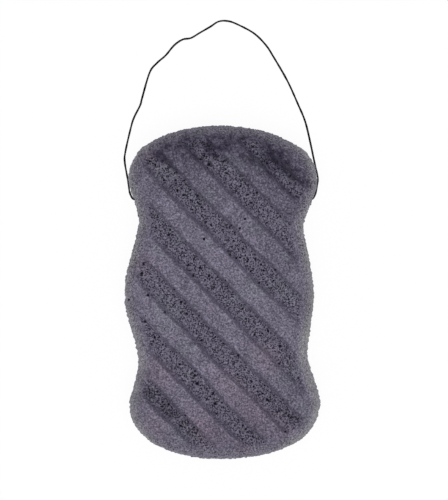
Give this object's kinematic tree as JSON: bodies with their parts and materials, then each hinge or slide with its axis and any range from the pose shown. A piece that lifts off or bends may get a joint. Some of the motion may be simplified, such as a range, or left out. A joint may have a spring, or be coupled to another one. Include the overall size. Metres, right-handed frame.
{
  "type": "konjac sponge",
  "caption": "Moulded konjac sponge with wavy sides and slanting grooves in its face, and a thin cord threaded through it to hang it by.",
  "frame": {"origin": "under the middle of the sponge, on the surface that its back lies on", "axes": "+Z out of the grooved face, +Y along the sponge towards the end with the cord, +X to the right of the grooved face"},
  "size_m": [0.0736, 0.1652, 0.03],
  "materials": {
    "konjac_foam": "matte",
    "cord": "matte"
  },
  "bodies": {
    "sponge": {"sponge": "konjac_foam"},
    "cord": {"cord_loop": "cord", "cord_run_left": "cord", "cord_run_right": "cord", "cord_knot": "cord"}
  },
  "joints": [
    {"name": "loop_swing", "type": "hinge", "parent": "sponge", "child": "cord", "pos_m": [0, 0.0347, 0.015], "axis": [1, 0, 0], "range_deg": [0, 178]}
  ]
}
